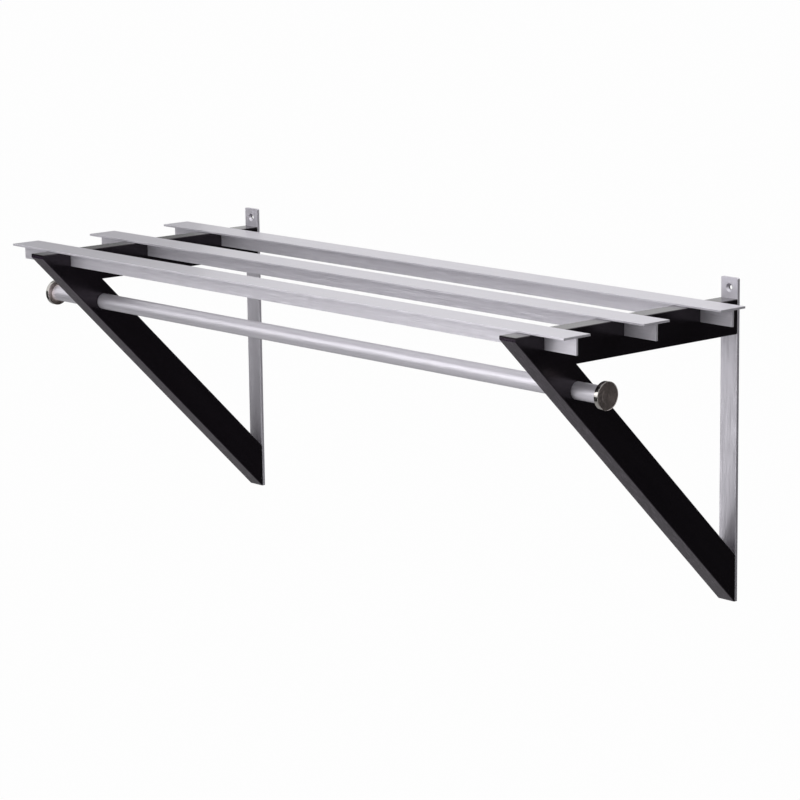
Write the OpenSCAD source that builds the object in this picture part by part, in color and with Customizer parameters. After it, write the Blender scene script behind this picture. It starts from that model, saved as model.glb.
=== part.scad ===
/* [Shelf bars] */
// How far the three T-shaped bars stand out past the left bracket
bar_out_left = 74.5; // [30:0.5:100]
// How far the bars stand out past the right bracket
bar_out_right = 47.5; // [30:0.5:100]
// Width of a bar's flange, front to back
bar_w = 40; // [30:1:50]
// Height of a bar, from the flange's top to the web's lower edge
bar_h = 21; // [16:0.5:26]
// Thickness of the flange and the web
bar_wall = 2.5; // [2:0.1:3.5]
// Radius of the root between flange and web
bar_root_r = 0.5; // [0.3:0.1:0.8]
// Radius of a bar's long outer edges
bar_edge_r = 0.3; // [0.1:0.1:0.6]
// Distance from one bar's web to the next
bar_pitch = 122; // [100:1:130]
// Distance from the brackets' nose back to the front bar's web
front_bar_setback = 44; // [36:1:60]

/* [Brackets] */
// Distance between the middles of the two brackets
bracket_pitch = 853; // [600:1:1100]
// Thickness of the bracket boards
board_t = 25; // [20:1:30]
// Width of the board that arm and brace are cut from
board_w = 40; // [36:1:50]
// Radius of the eased long edges of the boards
board_edge_r = 1; // [0.5:0.1:2]
// Distance from the wall to the nose of the brackets
bracket_depth = 352; // [330:1:400]
// Height of the small upright face at the nose
nose_h = 5; // [3:0.5:8]
// Angle between arm and brace
brace_angle = 45; // [42:1:50]
// Depth of the small flat under the foot of the brace
foot_t = 1; // [0.5:0.5:4]

/* [Wall rails] */
// Thickness of the flat wall rails
rail_t = 4; // [3:0.5:6]
// How far a wall rail stands up above the arm
rail_up = 24; // [18:1:40]
// Radius of a wall rail's two upper corners
rail_corner_r = 1.5; // [0.5:0.5:4]
// Radius of a wall rail's long edges
rail_edge_r = 0.4; // [0.2:0.1:0.8]
// Diameter of the hole for the wall screw
wall_hole_d = 5; // [4:0.5:6]
// Diameter of the countersink in front of that hole
wall_sink_d = 10; // [8:0.5:11]
// Distance from the rail's top down to the hole's middle
wall_hole_drop = 12; // [8:1:14]

/* [Hanging tube] */
// Outer diameter of the hanging tube
tube_d = 20; // [16:1:25]
// Wall thickness of the hanging tube
tube_wall = 2; // [1.5:0.1:3]
// How far the hanging tube stands out past the left bracket, without its cap
tube_out_left = 74; // [30:1:100]
// How far the tube stands out past the right bracket
tube_out_right = 40; // [30:1:100]
// Distance from the arm's top down to the tube's middle
tube_drop = 69; // [62:1:200]

/* [End caps] */
// Diameter of the turned end caps
cap_d = 32; // [28:1:40]
// Thickness of a cap's disc
cap_t = 5.5; // [4:0.5:8]
// Radius of the rounding at the rim of the disc
cap_rim_r = 0.8; // [0.4:0.1:1.2]
// Length of the spigot that goes into the tube
spigot_len = 18; // [14:1:30]
// Chamfer at the tip of the spigot
spigot_chamfer = 1; // [0.5:0.1:1.5]
// Thickness of the rubber ring on the spigot
ring_d = 1.8; // [1.5:0.1:2.4]
// Distance from the disc to the middle of the ring
ring_place = 9; // [6:0.5:11]

/* [Dowels] */
// Diameter of the dowels in the mitre of a bracket
dowel_d = 8; // [6:1:10]
// Length of the dowels
dowel_len = 30; // [24:1:34]
// Distance from the inner corner of the mitre to the first dowel
dowel_edge = 12.5; // [10:0.5:16]
// Distance between the two dowels
dowel_pitch = 18; // [14:1:24]

/* [Screws] */
// Shank diameter of the rail screws
rail_screw_d = 4; // [3.5:0.1:5]
// Head diameter of the rail screws
rail_screw_head_d = 8; // [7:0.1:9]
// Length of the rail screws
rail_screw_len = 30; // [20:1:32]
// Distance from the arm's upper and lower edges to its screws
arm_screw_edge = 10; // [7:0.5:14]
// Distance from the top of the brace's end to its first screw
brace_screw_edge = 8; // [7:0.5:12]
// Distance between the two screws in the brace's end
brace_screw_pitch = 16; // [12:1:18]
// Shank diameter of the screws that lock the tube
tube_screw_d = 3.5; // [3:0.1:4]
// Head diameter of the screws that lock the tube
tube_screw_head_d = 7; // [6:0.1:8]
// Length of the screws that lock the tube
tube_screw_len = 16; // [14:1:22]
// Depth of the cross recess in every screw's head
screw_recess_depth = 1.4; // [1:0.1:1.6]

/* [Clearances] */
// Room on each side of a web in its slot
slot_gap = 0.2; // [0.1:0.05:0.4]
// Room under a web in its slot
slot_floor_gap = 0.5; // [0.2:0.1:1]
// Chamfer of a slot's upper edges, which clears the bar's root
slot_chamfer = 0.6; // [0.4:0.1:1]
// Room round the tube in the braces
tube_gap = 0.2; // [0.1:0.05:0.4]
// Room round a cap's spigot in the tube
spigot_gap = 0.15; // [0.1:0.05:0.3]
// Room round a rubber ring in its groove and in the tube
ring_gap = 0.05; // [0.02:0.01:0.1]
// Room round dowels and screws in their holes
fixing_gap = 0.1; // [0.05:0.05:0.2]
// Room past the ends of dowels and screws in their holes
fixing_end_gap = 1; // [0.5:0.5:2]

/* [Hidden] */
$fn = 96;

LEFT = -1;
RIGHT = 1;
// Overshoot of a cut past the surface that it opens
cut = 1;

lacquer_black = "#151416";
aluminium_satin = "#c8c8cc";
steel_turned = "#8a8580";
steel_zinc = "#a8a69c";
beech = "#c9a26b";
rubber_black = "#1b1b1b";

// A screw's tip, as a share of its shank, and its cross recess, as shares of its head
tip_share = 1 / 8;
recess_len_share = 1 / 2;
recess_w_share = 1 / 8;

// The origin lies on the wall, midway between the two wall screws
arm_top = wall_hole_drop - rail_up;

// A bracket's side view has y along the arm, with the wall at 0, and z up from the arm's top.
// Arm and brace are equally wide, so their mitre runs at half the angle between them.
mitre_angle = brace_angle / 2;
rail_face = -rail_t;
nose = -bracket_depth;
corner = nose - nose_h / tan(brace_angle);
inner_corner = corner + board_w / tan(mitre_angle);
mitre_len = board_w / sin(mitre_angle);
brace_end_top = -board_w - (rail_face - inner_corner) * tan(brace_angle);
foot = -(rail_face - foot_t - corner) * tan(brace_angle);

// Bars and tube reach past the brackets' outer faces, further on the left than on the right
bracket_span = bracket_pitch + board_t;
bar_len = bar_out_left + bracket_span + bar_out_right;
bar_middle = (bar_out_right - bar_out_left) / 2;
tube_len = tube_out_left + bracket_span + tube_out_right;
tube_middle = (tube_out_right - tube_out_left) / 2;

// Stock longer than the brace, which the cuts shorten
board_stock_len = (rail_face - corner) / cos(brace_angle) + board_w;

// The tube's middle lies on the middle line of the brace
tube_y = corner + (board_w / 2 / cos(brace_angle) + tube_drop) / tan(brace_angle);
bore_r = tube_d / 2 - tube_wall;

front_bar_y = nose + front_bar_setback;
slot_half = bar_wall / 2 + slot_gap;
slot_depth = bar_h - bar_wall + slot_floor_gap;

ring_mid_r = bore_r - ring_gap - ring_d / 2;
groove_r = ring_mid_r - ring_d / 2 - ring_gap;

rail_screw_heights = [
    -arm_screw_edge,
    -board_w + arm_screw_edge,
    brace_end_top - brace_screw_edge,
    brace_end_top - brace_screw_edge - brace_screw_pitch
];
dowel_places = [mitre_len - dowel_edge, mitre_len - dowel_edge - dowel_pitch];

function mitre_height(y) = -(y - corner) * tan(mitre_angle);

// Rectangle round the origin with four rounded corners
module rounded_rect(width, height, r) {
    square([width - 2 * r, height], center = true);
    square([width, height - 2 * r], center = true);
    for (across = [LEFT, RIGHT], up = [-1, 1])
        translate([across * (width / 2 - r), up * (height / 2 - r)])
            circle(r);
}

// Placing

module at_bracket(side)
    translate([side * bracket_pitch / 2, 0, arm_top])
        children();

// Turns a side view into a solid of the given width along X
module along_x(width)
    rotate([90, 0, 90])
        linear_extrude(width, center = true)
            children();

module at_mitre_dowels()
    for (place = dowel_places)
        translate([0, corner + place * cos(mitre_angle), -place * sin(mitre_angle)])
            rotate([-mitre_angle, 0, 0])
                children();

module at_rail_screws()
    for (height = rail_screw_heights)
        translate([0, 0, height])
            rotate([90, 0, 0])
                children();

// From the brace's upper edge, square to it, towards the tube's middle
module at_tube_screw()
    translate([0, tube_y, -tube_drop])
        rotate([180 - brace_angle, 0, 0])
            translate([0, 0, -board_w / 2])
                children();

module at_tube_end(side)
    translate([tube_middle + side * tube_len / 2, tube_y, arm_top - tube_drop])
        rotate([0, side * 90, 0])
            children();

// Fixings, with the head's face at the origin and the point along +Z

module screw(shank_d, head_d, length) {
    head_h = (head_d - shank_d) / 2;
    point_h = shank_d;
    recess_len = head_d * recess_len_share;
    recess_w = head_d * recess_w_share;
    difference() {
        union() {
            cylinder(h = head_h, d1 = head_d, d2 = shank_d);
            cylinder(h = length - point_h, d = shank_d);
            translate([0, 0, length - point_h])
                cylinder(h = point_h, d1 = shank_d, d2 = shank_d * tip_share);
        }
        for (turn = [0, 90])
            rotate([0, 0, turn])
                translate([-recess_len / 2, -recess_w / 2, -cut])
                    cube([recess_len, recess_w, screw_recess_depth + cut]);
    }
}

module screw_hole(shank_d, head_d, length) {
    head_h = (head_d - shank_d) / 2;
    hole_d = shank_d + 2 * fixing_gap;
    translate([0, 0, -cut])
        cylinder(h = length + fixing_end_gap + cut, d = hole_d);
    translate([0, 0, -cut])
        cylinder(h = head_h + cut, d1 = head_d + 2 * fixing_gap + 2 * cut, d2 = hole_d);
}

module rail_screw_holes()
    at_rail_screws()
        screw_hole(rail_screw_d, rail_screw_head_d, rail_screw_len);

module tube_screw_hole()
    at_tube_screw()
        screw_hole(tube_screw_d, tube_screw_head_d, tube_screw_len);

module dowel_holes()
    at_mitre_dowels()
        cylinder(h = dowel_len + 2 * fixing_end_gap, d = dowel_d + 2 * fixing_gap, center = true);

// Brackets

module slot(y)
    translate([0, y, 0])
        along_x(board_t + 2 * cut)
            polygon([
                [-slot_half - slot_chamfer, cut],
                [-slot_half - slot_chamfer, 0],
                [-slot_half, -slot_chamfer],
                [-slot_half, -slot_depth],
                [slot_half, -slot_depth],
                [slot_half, -slot_chamfer],
                [slot_half + slot_chamfer, 0],
                [slot_half + slot_chamfer, cut]
            ]);

module bar_slots()
    for (i = [0:2])
        slot(front_bar_y + i * bar_pitch);

// Length of board with eased edges, its first face at height 0 and the board above it
module board_stock()
    rotate([90, 0, 180])
        linear_extrude(board_stock_len)
            translate([0, board_w / 2])
                rounded_rect(board_t, board_w, board_edge_r);

// Level board: its stock ends at the nose, the mitre and the wall rail, and has three slots for the bars
module arm(side)
    color(lacquer_black)
        at_bracket(side)
            difference() {
                intersection() {
                    translate([0, nose - cut, -board_w])
                        board_stock();
                    along_x(board_t + 2 * cut)
                        polygon([
                            [nose, mitre_height(nose)],
                            [nose, cut],
                            [rail_face, cut],
                            [rail_face, mitre_height(rail_face)]
                        ]);
                }
                bar_slots();
                dowel_holes();
                rail_screw_holes();
            }

// Sloping board from the mitre down to the foot of the wall rail
module brace(side)
    color(lacquer_black)
        at_bracket(side)
            difference() {
                intersection() {
                    translate([0, corner, 0])
                        rotate([-brace_angle, 0, 0])
                            board_stock();
                    along_x(board_t + 2 * cut)
                        polygon([
                            [nose, mitre_height(nose)],
                            [rail_face, mitre_height(rail_face)],
                            [rail_face, foot],
                            [nose, foot]
                        ]);
                }
                bar_slots();
                translate([0, tube_y, -tube_drop])
                    rotate([0, 90, 0])
                        cylinder(h = board_t + 2 * cut, d = tube_d + 2 * tube_gap, center = true);
                dowel_holes();
                rail_screw_holes();
                tube_screw_hole();
            }

module dowels(side)
    color(beech)
        at_bracket(side)
            at_mitre_dowels()
                cylinder(h = dowel_len, d = dowel_d, center = true);

// What is cut away from the rail's two upper corners
module rail_corner_cuts()
    rotate([90, 0, 0])
        translate([0, 0, -cut])
            linear_extrude(rail_t + 2 * cut)
                for (end = [LEFT, RIGHT])
                    translate([end * (board_t / 2 - rail_corner_r), rail_up - rail_corner_r])
                        difference() {
                            scale([end, 1])
                                square(rail_corner_r + cut);
                            circle(rail_corner_r);
                        }

module wall_screw_hole() {
    sink_h = (wall_sink_d - wall_hole_d) / 2;
    rotate([90, 0, 0]) {
        translate([0, 0, -cut])
            cylinder(h = rail_t + 2 * cut, d = wall_hole_d);
        translate([0, 0, rail_t - sink_h])
            cylinder(h = sink_h + cut, d1 = wall_hole_d, d2 = wall_sink_d + 2 * cut);
    }
}

// Flat bar as wide as the boards are thick, flush with both of their side faces
module wall_rail(side)
    color(aluminium_satin)
        at_bracket(side)
            difference() {
                translate([0, -rail_t / 2, foot])
                    linear_extrude(rail_up - foot)
                        rounded_rect(board_t, rail_t, rail_edge_r);
                rail_corner_cuts();
                translate([0, 0, rail_up - wall_hole_drop])
                    wall_screw_hole();
                rail_screw_holes();
            }

module rail_screws(side)
    color(steel_zinc)
        at_bracket(side)
            at_rail_screws()
                screw(rail_screw_d, rail_screw_head_d, rail_screw_len);

// Shelf bars

// The flange's underside lies at height 0, on the arms
module bar_section() {
    translate([0, bar_wall / 2])
        rounded_rect(bar_w, bar_wall, bar_edge_r);
    translate([0, bar_wall - bar_h / 2])
        rounded_rect(bar_wall, bar_h, bar_edge_r);
    for (face = [LEFT, RIGHT])
        scale([face, 1])
            translate([bar_wall / 2, -bar_root_r])
                difference() {
                    square(bar_root_r);
                    translate([bar_root_r, 0])
                        circle(r = bar_root_r);
                }
}

module bar(place)
    color(aluminium_satin)
        translate([bar_middle, front_bar_y + place * bar_pitch, arm_top])
            along_x(bar_len)
                bar_section();

// Hanging tube

module hanging_tube()
    color(aluminium_satin)
        difference() {
            translate([tube_middle, tube_y, arm_top - tube_drop])
                rotate([0, 90, 0])
                    difference() {
                        cylinder(h = tube_len, d = tube_d, center = true);
                        cylinder(h = tube_len + 2 * cut, r = bore_r, center = true);
                    }
            for (side = [LEFT, RIGHT])
                at_bracket(side)
                    tube_screw_hole();
        }

module tube_screw(side)
    color(steel_zinc)
        at_bracket(side)
            at_tube_screw()
                screw(tube_screw_d, tube_screw_head_d, tube_screw_len);

// The disc stands on height 0 with both edges of its rim rounded
module disc_section() {
    rim = cap_d / 2;
    square([rim - cap_rim_r, cap_t]);
    translate([0, cap_rim_r])
        square([rim, cap_t - 2 * cap_rim_r]);
    for (height = [cap_rim_r, cap_t - cap_rim_r])
        translate([rim - cap_rim_r, height])
            circle(r = cap_rim_r);
}

// The spigot reaches down from the disc and has a groove for the rubber ring
module spigot_section() {
    spigot_r = bore_r - spigot_gap;
    groove_half = ring_d / 2 + 2 * ring_gap;
    difference() {
        polygon([
            [0, cap_t / 2],
            [spigot_r, cap_t / 2],
            [spigot_r, -spigot_len + spigot_chamfer],
            [spigot_r - spigot_chamfer, -spigot_len],
            [0, -spigot_len]
        ]);
        translate([groove_r, -ring_place - groove_half])
            square([spigot_r, 2 * groove_half]);
    }
}

module end_cap(side)
    color(steel_turned)
        at_tube_end(side) {
            rotate_extrude()
                disc_section();
            rotate_extrude()
                spigot_section();
        }

module cap_ring(side)
    color(rubber_black)
        at_tube_end(side)
            translate([0, 0, -ring_place])
                rotate_extrude()
                    translate([ring_mid_r, 0])
                        circle(d = ring_d);

arm(LEFT);  // left_arm
brace(LEFT);  // left_brace
wall_rail(LEFT);  // left_wall_rail
dowels(LEFT);  // left_dowels
rail_screws(LEFT);  // left_rail_screws
tube_screw(LEFT);  // left_tube_screw
arm(RIGHT);  // right_arm
brace(RIGHT);  // right_brace
wall_rail(RIGHT);  // right_wall_rail
dowels(RIGHT);  // right_dowels
rail_screws(RIGHT);  // right_rail_screws
tube_screw(RIGHT);  // right_tube_screw
bar(0);  // front_bar
bar(1);  // middle_bar
bar(2);  // rear_bar
hanging_tube();
end_cap(LEFT);  // left_end_cap
end_cap(RIGHT);  // right_end_cap
cap_ring(LEFT);  // left_cap_ring
cap_ring(RIGHT);  // right_cap_ring
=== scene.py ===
"""Looks of a wall-mounted hat shelf: three aluminium T-bars on two black brackets, over a round hanging tube.

Every form but the turned end caps comes with the frame. Lengths are in metres: +X runs along the shelf,
+Y goes into the wall and +Z is up.
"""

import math

import bpy
import numpy as np
from mathutils import Matrix, Vector


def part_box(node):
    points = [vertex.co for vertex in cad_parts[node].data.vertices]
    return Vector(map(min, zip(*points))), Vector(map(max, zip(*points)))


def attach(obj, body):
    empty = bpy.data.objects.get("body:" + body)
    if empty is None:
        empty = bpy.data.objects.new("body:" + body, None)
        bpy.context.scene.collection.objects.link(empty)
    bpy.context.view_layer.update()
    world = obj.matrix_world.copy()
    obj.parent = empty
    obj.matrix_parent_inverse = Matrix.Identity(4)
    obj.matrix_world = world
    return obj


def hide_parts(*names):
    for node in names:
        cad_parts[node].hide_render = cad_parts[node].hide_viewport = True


MM = 0.001

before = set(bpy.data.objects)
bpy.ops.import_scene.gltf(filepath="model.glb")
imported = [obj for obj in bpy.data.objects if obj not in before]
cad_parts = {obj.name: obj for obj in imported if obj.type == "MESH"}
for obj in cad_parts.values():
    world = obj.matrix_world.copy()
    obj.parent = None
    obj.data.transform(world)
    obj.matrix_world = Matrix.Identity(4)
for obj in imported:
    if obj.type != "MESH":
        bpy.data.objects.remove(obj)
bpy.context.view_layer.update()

ALONG_SHELF = (1.0, 0.0, 0.0)
TO_WALL = (0.0, 1.0, 0.0)
UPRIGHT = (0.0, 0.0, 1.0)
SIDES = {"left": -1, "right": 1}

# Sizes of the part. A wall hole and its countersink lie within the hole's reach, and inside it the bore is
# painted near-black as painted shade.
CAP_THICKNESS = 5.5 * MM
SPIGOT_RADIUS = 7.85 * MM
WALL_HOLE_X = 426.5 * MM
WALL_HOLE_REACH = 4.8 * MM

WHITE = (1.0, 1.0, 1.0, 1.0)


# Shader maths


class Value:
    """What changes over a surface. Sums and products of such numbers add Math nodes."""

    def __init__(self, finish, socket):
        self.finish = finish
        self.socket = socket

    def _math(self, operation, *parts, clamp=False):
        settings = {"operation": operation, "use_clamp": clamp}
        return self.finish.node("ShaderNodeMath", settings, dict(enumerate(parts)))

    def __add__(self, other):
        return self._math("ADD", self, other)

    def __radd__(self, other):
        return self._math("ADD", other, self)

    def __sub__(self, other):
        return self._math("SUBTRACT", self, other)

    def __rsub__(self, other):
        return self._math("SUBTRACT", other, self)

    def __mul__(self, other):
        return self._math("MULTIPLY", self, other)

    def __rmul__(self, other):
        return self._math("MULTIPLY", other, self)

    def above(self, edge):
        return self._math("GREATER_THAN", self, edge)

    def at_least(self, other):
        return self._math("MAXIMUM", self, other)

    def size(self):
        return self._math("ABSOLUTE", self)

    def clamped(self):
        return self._math("ADD", self, 0.0, clamp=True)


class Finish:
    """A node tree under construction, with one method that adds any node."""

    # The Mix node's two inputs and its result, by the kind of value that they hold
    MIX_SOCKETS = {"RGBA": (6, 7, 2), "VECTOR": (4, 5, 1)}

    def __init__(self, tree):
        self.tree = tree
        tree.nodes.clear()

    def node(self, kind, settings=None, sockets=None, output=0):
        """Adds a node: its settings first, then the values or links of its sockets. Returns one output."""
        added = self.tree.nodes.new(kind)
        for name, setting in (settings or {}).items():
            setattr(added, name, setting)
        for key, given in (sockets or {}).items():
            if isinstance(given, Value):
                self.tree.links.new(given.socket, added.inputs[key])
            else:
                added.inputs[key].default_value = given
        return Value(self, added.outputs[output]) if added.outputs else added

    def position(self):
        """Where the shaded point is on the piece, in metres."""
        return self.node("ShaderNodeTexCoord", output="Object")

    def facing(self):
        """Which way the surface faces."""
        return self.node("ShaderNodeNewGeometry", output="Normal")

    def vector(self, x=0.0, y=0.0, z=0.0):
        """A vector of three numbers."""
        return self.node("ShaderNodeCombineXYZ", sockets={"X": x, "Y": y, "Z": z})

    def vector_math(self, operation, *parts, output="Vector"):
        """A sum, product or the like of vectors."""
        settings = {"operation": operation}
        return self.node("ShaderNodeVectorMath", settings, dict(enumerate(parts)), output)

    def along(self, vector, axis):
        """How far a vector goes along an axis."""
        return self.vector_math("DOT_PRODUCT", vector, axis, output="Value")

    def length(self, vector):
        """How long a vector is."""
        return self.vector_math("LENGTH", vector, output="Value")

    def faces(self, axis, cosine):
        """1 where the surface faces one way or the other along an axis, and 0 elsewhere."""
        return self.along(self.facing(), axis).size().above(cosine)

    def noise(self, place, sizes, detail=0.0):
        """Smooth noise around 0, within about half a unit either way, in lumps of three sizes in metres."""
        sockets = {"Vector": self.vector_math("DIVIDE", place, sizes), "Scale": 1.0, "Detail": detail}
        return self.node("ShaderNodeTexNoise", sockets=sockets) - 0.5

    def lumps(self, place, size, detail=0.0):
        """Noise in lumps of one size in metres, alike in all directions."""
        return self.noise(place, (size, size, size), detail)

    def lines(self, place, axis, width, length):
        """Noise drawn out into lines of one width and length, in metres, along an axis."""
        return self.noise(place, [length if part else width for part in axis])

    def mixed(self, share, first, second, kind="RGBA"):
        """A colour between two colours, or of the kind VECTOR a vector between two vectors."""
        first_key, second_key, result = self.MIX_SOCKETS[kind]
        first, second = [given if isinstance(given, Value) else (*given, 1.0) for given in (first, second)]
        sockets = {"Factor": share, first_key: first, second_key: second}
        return self.node("ShaderNodeMix", {"data_type": kind}, sockets, result)

    def clouded(self, noise, first, second):
        """A colour that noise around 0 moves between two colours."""
        return self.mixed((0.5 + noise).clamped(), first, second)

    def leaning(self, axis, slope):
        """The surface's normal, leaning by a slope across the lines that run along an axis."""
        across = self.vector_math("CROSS_PRODUCT", self.facing(), axis)
        lean = self.vector_math("MULTIPLY_ADD", across, self.vector(slope, slope, slope), self.facing())
        return self.vector_math("NORMALIZE", lean)

    def layered(self, share, under, over):
        """A shader that shows another one over it by a share."""
        return self.node("ShaderNodeMixShader", sockets={0: share, 1: under, 2: over})

    def surface(self, **sockets):
        """The shader and the output. Socket names are written with underscores."""
        named = {name.replace("_", " "): given for name, given in sockets.items()}
        shader = self.node("ShaderNodeBsdfPrincipled", sockets=named)
        self.node("ShaderNodeOutputMaterial", sockets={"Surface": shader})


def new_finish(name):
    """An empty material and the finish that fills it."""
    material = bpy.data.materials.new(name)
    material.use_nodes = True
    return material, Finish(material.node_tree)


# Finishes


def satin_aluminium(name, drawn_along, sawn_along):
    """Anodised aluminium: drawing lines run along the profile, and its sawn ends carry short saw lines.

    The bores of the two wall holes are painted near-black and lose their coat, as painted shade inside the
    holes.
    """
    material, finish = new_finish(name)
    place = finish.position()
    fine = finish.lines(place, drawn_along, width=0.14 * MM, length=25 * MM)
    medium = finish.lines(place, drawn_along, width=1.6 * MM, length=160 * MM)
    broad = finish.lines(place, drawn_along, width=5 * MM, length=400 * MM)
    saw_lines = finish.lines(place, sawn_along, width=0.3 * MM, length=40 * MM)
    drawn = finish.leaning(drawn_along, 0.65 * fine + 0.03 * medium)
    sawn = finish.leaning(sawn_along, 0.5 * saw_lines)
    at_end = finish.faces(drawn_along, cosine=0.9)
    streaks = 0.35 * fine + 0.5 * medium + 0.5 * broad
    skin = finish.clouded(streaks, (0.63, 0.61, 0.665), (0.71, 0.69, 0.745))

    # Painted shade: the bore walls of the two wall holes, but not their countersinks, are coloured near-black
    # for the shade inside the holes.
    either_side = finish.vector_math("ABSOLUTE", place)
    from_hole = finish.vector_math("SUBTRACT", either_side, (WALL_HOLE_X, 0.0, 0.0))
    off_hole_axis = finish.vector_math("MULTIPLY", from_hole, (1.0, 0.0, 1.0))
    near_hole = 1.0 - finish.length(off_hole_axis).above(WALL_HOLE_REACH)
    painted_bore_shade = near_hole * (1.0 - finish.faces(TO_WALL, cosine=0.3))
    finish.surface(
        Base_Color=finish.mixed(painted_bore_shade, skin, (0.03, 0.03, 0.03)),
        Metallic=0.75,
        Roughness=0.44 + 0.05 * medium + 0.05 * broad + 0.06 * at_end,
        Coat_Weight=0.2 * (1.0 - painted_bore_shade),
        Coat_Roughness=0.12,
        Normal=finish.mixed(at_end, drawn, sawn, kind="VECTOR"),
    )
    return material


def turned_steel(centre):
    """Steel turned about the tube's axis, with grooves that run round it."""
    material, finish = new_finish("turned_steel")
    place = finish.position()
    arm = finish.vector_math("MULTIPLY", finish.vector_math("SUBTRACT", place, centre), (0.0, 1.0, 1.0))
    round_axis = finish.vector_math("NORMALIZE", finish.vector_math("CROSS_PRODUCT", ALONG_SHELF, arm))
    turned_place = finish.vector(finish.length(arm), finish.along(place, ALONG_SHELF))
    fine = finish.lumps(turned_place, 0.11 * MM)
    medium = finish.lumps(turned_place, 0.6 * MM)
    smear = finish.lumps(place, 5 * MM, detail=2.0)
    on_face = finish.faces(ALONG_SHELF, cosine=0.95)
    finish.surface(
        Base_Color=finish.mixed(
            on_face,
            finish.clouded(smear + medium, (0.47, 0.45, 0.43), (0.57, 0.55, 0.53)),
            finish.clouded(smear + medium, (0.55, 0.465, 0.44), (0.66, 0.565, 0.54)),
        ),
        Metallic=1.0,
        Roughness=0.10 + 0.16 * on_face + 0.05 * smear,
        Normal=finish.leaning(round_axis, (0.12 + 0.55 * on_face) * fine + 0.06 * medium),
    )
    return material


def black_lacquer(name, tilt, pebbled):
    """Thin black lacquer on wood, smooth on the board's sides and more or less pebbled on its edges.

    The board runs along +Y once it is tilted back about X. The relief's height is in metres.
    """
    material, finish = new_finish(name)
    place = finish.node("ShaderNodeMapping", sockets={"Vector": finish.position(), "Rotation": (tilt, 0, 0)})
    pores = finish.lines(place, TO_WALL, width=0.5 * MM, length=4 * MM)
    strands = finish.lines(place, TO_WALL, width=1.6 * MM, length=14 * MM)
    figure = finish.lines(place, TO_WALL, width=9 * MM, length=150 * MM)
    pebble = finish.noise(place, (2.0 * MM, 2.8 * MM, 2.0 * MM), detail=2.0)
    sunk = (4.0 * (pores - 0.1)).clamped()
    grain = pebble + strands
    uneven = pebbled * (1.0 - finish.faces(ALONG_SHELF, cosine=0.6))
    height = uneven * MM * (0.14 * pebble + 0.03 * strands - 0.03 * sunk)
    plain = finish.clouded(strands + figure, (0.0050, 0.0038, 0.0056), (0.0080, 0.0062, 0.0088))
    grained = finish.clouded(1.5 * grain, (0.004, 0.002, 0.005), (0.034, 0.020, 0.040))
    finish.surface(
        Base_Color=finish.mixed(uneven, plain, grained),
        Roughness=0.22 + uneven * (0.24 * pebble + 0.1 * figure),
        Specular_IOR_Level=0.38,
        Specular_Tint=(1.0, 0.87, 1.0, 1.0),
        Coat_Weight=(uneven * (0.03 + 1.3 * grain)).clamped(),
        Coat_Roughness=0.3,
        Normal=finish.node("ShaderNodeBump", sockets={"Height": height, "Distance": 1.0, "Strength": 1.0}),
    )
    return material


def zinc_steel():
    """Zinc-plated screws: a cool bright metal with a faint crystal mottle."""
    material, finish = new_finish("zinc_steel")
    mottle = finish.lumps(finish.position(), 0.7 * MM, detail=3.0)
    finish.surface(
        Base_Color=finish.clouded(mottle, (0.50, 0.52, 0.55), (0.68, 0.70, 0.73)),
        Metallic=1.0,
        Roughness=0.28 + 0.2 * mottle,
    )
    return material


def beech():
    """Plain beech for the dowels, with short darker flecks along the grain."""
    material, finish = new_finish("beech")
    place = finish.position()
    flecks = finish.lines(place, ALONG_SHELF, width=0.6 * MM, length=4 * MM)
    rings = finish.lines(place, ALONG_SHELF, width=2.5 * MM, length=40 * MM)
    finish.surface(
        Base_Color=finish.clouded(flecks + rings, (0.44, 0.27, 0.15), (0.66, 0.46, 0.30)),
        Roughness=0.6 + 0.2 * flecks,
    )
    return material


def black_rubber():
    """Moulded rubber for the sealing rings: matt, with a faint bloom."""
    material, finish = new_finish("black_rubber")
    bloom = finish.lumps(finish.position(), 1.5 * MM, detail=3.0)
    finish.surface(
        Base_Color=finish.clouded(bloom, (0.012, 0.012, 0.012), (0.03, 0.03, 0.03)),
        Roughness=0.7 + 0.2 * bloom,
    )
    return material


# Turned end caps

CAP_SEGMENTS = 128
CAP_RINGS = 140
ROUND_STEPS = 8


def turned_mesh(name, profile, centre, outward):
    """A profile of (inward distance, radius) pairs carried round the tube's axis.

    The point at distance a and radius r, at angle t round the axis, is
    centre + (-outward * a, r * cos(t), r * sin(t)). Both ends of the profile close in one point.
    """
    distance, radius = np.asarray(profile, dtype=float).T
    angle = np.linspace(0.0, 2 * np.pi, CAP_SEGMENTS, endpoint=False)
    rows = len(distance)
    grid = np.empty((rows, CAP_SEGMENTS, 3))
    grid[..., 0] = centre.x - outward * distance[:, None]
    grid[..., 1] = centre.y + radius[:, None] * np.cos(angle)
    grid[..., 2] = centre.z + radius[:, None] * np.sin(angle)
    ends = np.array([[centre.x - outward * distance[end], centre.y, centre.z] for end in (0, -1)])
    points = np.vstack([grid.reshape(-1, 3), ends])

    here = np.arange(CAP_SEGMENTS)
    following = (here + 1) % CAP_SEGMENTS
    row = np.arange(rows - 1)[:, None] * CAP_SEGMENTS
    next_row = row + CAP_SEGMENTS
    quads = np.stack([row + here, next_row + here, next_row + following, row + following], -1)
    last = (rows - 1) * CAP_SEGMENTS
    first_end = np.full(CAP_SEGMENTS, rows * CAP_SEGMENTS)
    first_fan = np.stack([first_end, here, following], -1)
    last_fan = np.stack([first_end + 1, last + following, last + here], -1)
    faces = quads.reshape(-1, 4).tolist() + first_fan.tolist() + last_fan.tolist()
    if outward < 0:
        faces = [face[::-1] for face in faces]
    mesh = bpy.data.meshes.new(name)
    mesh.from_pydata(points.tolist(), [], faces)
    mesh.validate()
    return mesh


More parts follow.
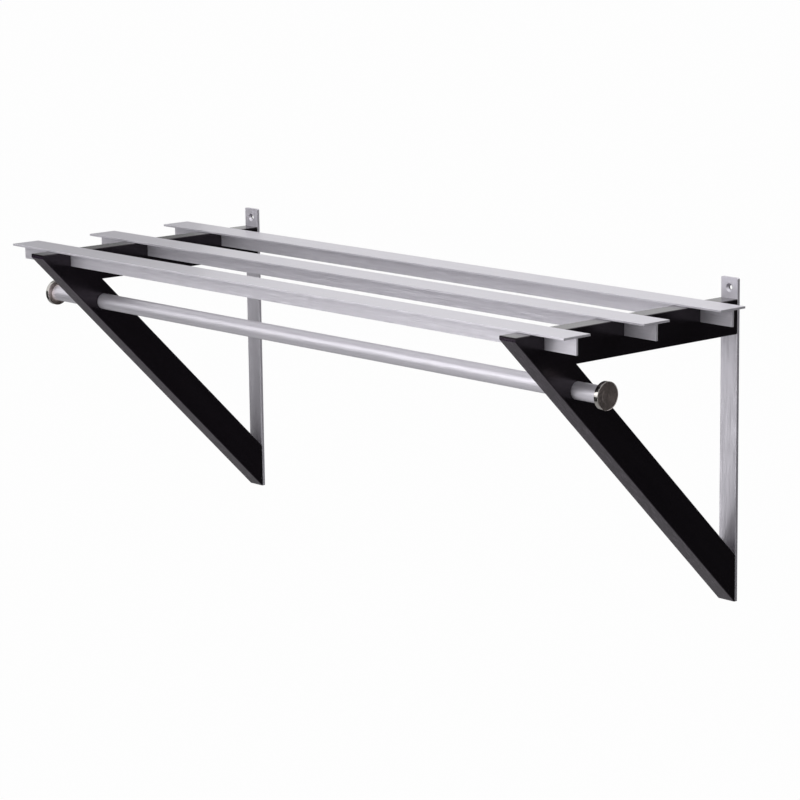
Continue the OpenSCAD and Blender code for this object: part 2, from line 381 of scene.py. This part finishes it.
def cap_profile(radius, spigot_end):
    """The face dips and ripples in fine turned rings, then come a groove, the rim, the back and the spigot.

    The face's depth at radius r is
    sunk + dish * (1 - (r / edge)^2) + half ripple * (1 - cos(2 * pi * r / pitch)).
    """
    edge = radius - 1.0 * MM
    innermost = 0.25 * MM
    sunk = 0.02 * MM
    dish = 0.12 * MM
    half_ripple = 0.0015 * MM
    pitch = 0.55 * MM
    rings = np.linspace(innermost, edge, CAP_RINGS)
    dip = dish * (1 - (rings / edge) ** 2)
    ripple = half_ripple * (1 - np.cos(2 * np.pi * rings / pitch))
    face = np.stack([sunk + dip + ripple, rings], -1)

    groove_depth = 0.12 * MM
    groove = [(groove_depth, edge + 0.1 * MM), (groove_depth, edge + 0.25 * MM), (0.0, edge + 0.35 * MM)]
    turn = np.linspace(0.0, np.pi / 2, ROUND_STEPS)
    front_round = 0.15 * MM
    front = np.stack([front_round * (1 - np.cos(turn)), radius - front_round * (1 - np.sin(turn))], -1)
    back_round = 0.4 * MM
    back = np.stack(
        [CAP_THICKNESS - back_round * (1 - np.sin(turn)), radius - back_round * (1 - np.cos(turn))], -1
    )
    fillet = 0.3 * MM
    neck = [(CAP_THICKNESS, SPIGOT_RADIUS + fillet), (CAP_THICKNESS + fillet, SPIGOT_RADIUS)]
    chamfer = 1 * MM
    tip = [(spigot_end - chamfer, SPIGOT_RADIUS), (spigot_end, SPIGOT_RADIUS - chamfer)]
    return np.vstack([face, groove, front, back, neck, tip])


def turned_cap(side, finish):
    """Makes an end cap that stands for the node's plain one, inside the same box."""
    node = f"{side}_end_cap"
    name = f"{side}_turned_cap"
    low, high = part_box(node)
    outward = SIDES[side]
    face_x = high.x if outward > 0 else low.x
    centre = Vector((face_x, (low.y + high.y) / 2, (low.z + high.z) / 2))
    profile = cap_profile(radius=(high.z - low.z) / 2, spigot_end=high.x - low.x)
    cap = bpy.data.objects.new(name, turned_mesh(name, profile, centre, outward))
    bpy.context.scene.collection.objects.link(cap)
    cap.data.materials.append(finish)
    cap.data.shade_smooth()
    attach(cap, "root")
    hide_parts(node)


tube_low, tube_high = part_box("hanging_tube")
steel = turned_steel((tube_low + tube_high) / 2)
for side in SIDES:
    turned_cap(side, steel)

bar_finish = satin_aluminium("satin_aluminium_bars", ALONG_SHELF, TO_WALL)
zinc = zinc_steel()
FINISHES = {
    "bar": bar_finish,
    "hanging_tube": bar_finish,
    "wall_rail": satin_aluminium("satin_aluminium_rails", UPRIGHT, ALONG_SHELF),
    "arm": black_lacquer("black_lacquer_arms", tilt=0.0, pebbled=0.05),
    "brace": black_lacquer("black_lacquer_braces", tilt=math.radians(45), pebbled=0.8),
    "end_cap": steel,
    "cap_ring": black_rubber(),
    "rail_screws": zinc,
    "tube_screw": zinc,
    "dowels": beech(),
}
for name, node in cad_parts.items():
    finish = next(FINISHES[ending] for ending in FINISHES if name.endswith(ending))
    for material_slot in node.material_slots:
        material_slot.material = finish


# Studio

FLOOR_WHITE = 0.985
FLOOR_MIRRORED = 0.17
FLOOR_DEPTH = 1.8
FLOOR_REACH = 60.0
WORLD_LEVEL = 0.15
SHELF_MIDDLE = (0.0, -0.2, -0.1)

# Each card's name, middle, half width, half height and level
CARDS = [
    ("right_card", (1.59, 1.22, -0.15), (-0.5, 0.56, 0), (0, 0, 1.6), 0.04),
    ("left_card", (-2.12, 0.45, 0.35), (-0.4, -0.48, 0), (0, 0, 1.1), 0.4),
    ("front_card", (-1.7, -1.7, -0.75), (-0.9, 0.9, 0), (0, 0, 0.85), 0.05),
    ("far_front_card", (0.8, -3.6, 1.3), (2.6, 0, 0), (0, 0, 1.6), 0.2),
]

# Each lamp's name, place, width and level
LAMPS = [
    ("front_box", (0.3, -1.5, 0.75), 1.6, 1.1),
    ("left_front_box", (-0.65, -1.5, 0.35), 1.3, 1.25),
    ("low_front_box", (-0.1, -2.5, -0.85), 2.0, 2.0),
    ("wall_side_box", (1.25, 0.85, 1.1), 1.2, 1.6),
]

# The camera stands where the photograph's edges meet the frame's best. Its lens is in millimetres.
CAMERA_PLACE = (2.74403, -2.57895, 0.55751)
CAMERA_TARGET = (0.05834, -0.176, -0.15627)
CAMERA_ROLL = math.radians(-0.7245)
LENS = 138.861
SENSOR_WIDTH = 36.0


def aimed(place, target, roll=0.0):
    """A matrix at a place that looks at a target, turned about its line of sight."""
    back = (Vector(place) - Vector(target)).normalized()
    right = Vector(UPRIGHT).cross(back).normalized()
    up = back.cross(right)
    turned_right = right * math.cos(roll) + up * math.sin(roll)
    turned_up = back.cross(turned_right)
    matrix = Matrix((turned_right, turned_up, back)).transposed().to_4x4()
    matrix.translation = place
    return matrix


def soft_box(name, place, width, level):
    """Hangs a square lamp that points at the shelf and shines at a level where 1 is white."""
    lamp = bpy.data.lights.new(name, "AREA")
    lamp.shape = "SQUARE"
    lamp.size = width
    lamp.energy = level * math.pi * width**2
    box = bpy.data.objects.new(name, lamp)
    box.matrix_world = aimed(place, SHELF_MIDDLE)
    box.visible_camera = False
    bpy.context.scene.collection.objects.link(box)


def sheet_of_stage(name, middle, half_width, half_height, material):
    """A flat sheet round a middle, from two half sides."""
    middle, right, up = Vector(middle), Vector(half_width), Vector(half_height)
    corners = [middle - right - up, middle + right - up, middle + right + up, middle - right + up]
    mesh = bpy.data.meshes.new(name)
    mesh.from_pydata(corners, [], [(0, 1, 2, 3)])
    mesh.materials.append(material)
    sheet = bpy.data.objects.new(name, mesh)
    bpy.context.scene.collection.objects.link(sheet)
    return sheet


def white_share(finish, mirrored):
    """How white a backdrop is: wholly for the camera, also through glass, and by a share in reflections."""
    camera, glossy, glass = [
        finish.node("ShaderNodeLightPath", output=f"Is {kind} Ray")
        for kind in ("Camera", "Glossy", "Transmission")
    ]
    return camera.at_least(glass).at_least(mirrored * glossy)


def stage_finish(name):
    """An empty material whose glow is seen and isn't used as a lamp, and the finish that fills it."""
    material, finish = new_finish(name)
    material.cycles.emission_sampling = "NONE"
    return material, finish


def pale_floor():
    """A pale floor that is white where it is looked at and still takes the shelf's shadow."""
    material, finish = stage_finish("pale_floor")
    mottle = finish.lumps(finish.position(), 0.4, detail=3.0)
    colour = finish.clouded(mottle, (0.80, 0.80, 0.80), (0.84, 0.84, 0.84))
    paint = finish.node("ShaderNodeBsdfDiffuse", sockets={"Color": colour})
    glow = finish.node("ShaderNodeEmission", sockets={"Color": WHITE, "Strength": 1.0})
    share = FLOOR_WHITE * white_share(finish, FLOOR_MIRRORED)
    finish.node("ShaderNodeOutputMaterial", sockets={"Surface": finish.layered(share, paint, glow)})
    return material


def card_cloth(name, level):
    """Grey cloth at one level, where 1 is white, for a card that the shelf mirrors."""
    material, finish = stage_finish(name)
    weave = finish.lumps(finish.position(), 0.02)
    colour = finish.clouded(weave, (0.95, 0.95, 0.95), (1.0, 1.0, 1.0))
    cloth = finish.node("ShaderNodeEmission", sockets={"Color": colour, "Strength": level})
    finish.node("ShaderNodeOutputMaterial", sockets={"Surface": cloth})
    return material


sheet_of_stage("floor", (0, 0, -FLOOR_DEPTH), (FLOOR_REACH, 0, 0), (0, FLOOR_REACH, 0), pale_floor())
for name, middle, half_width, half_height, level in CARDS:
    card = sheet_of_stage(name, middle, half_width, half_height, card_cloth(name, level))
    card.visible_camera = False
    card.visible_diffuse = False
    card.visible_shadow = False

for name, place, width, level in LAMPS:
    soft_box(name, place, width, level)

world = bpy.data.worlds.new("studio")
world.use_nodes = True
bpy.context.scene.world = world
studio = Finish(world.node_tree)
dim = studio.node("ShaderNodeBackground", sockets={"Color": WHITE, "Strength": WORLD_LEVEL})
bright = studio.node("ShaderNodeBackground", sockets={"Color": WHITE, "Strength": 1.0})
backdrop = studio.layered(white_share(studio, 1.0), dim, bright)
studio.node("ShaderNodeOutputWorld", sockets={"Surface": backdrop})

lens = bpy.data.cameras.new("camera")
lens.lens = LENS
lens.sensor_width = SENSOR_WIDTH
lens.clip_start = 0.05
lens.clip_end = 200.0
camera = bpy.data.objects.new("camera", lens)
camera.matrix_world = aimed(CAMERA_PLACE, CAMERA_TARGET, CAMERA_ROLL)
bpy.context.scene.collection.objects.link(camera)
bpy.context.scene.camera = camera
bpy.context.scene.view_settings.view_transform = "Standard"
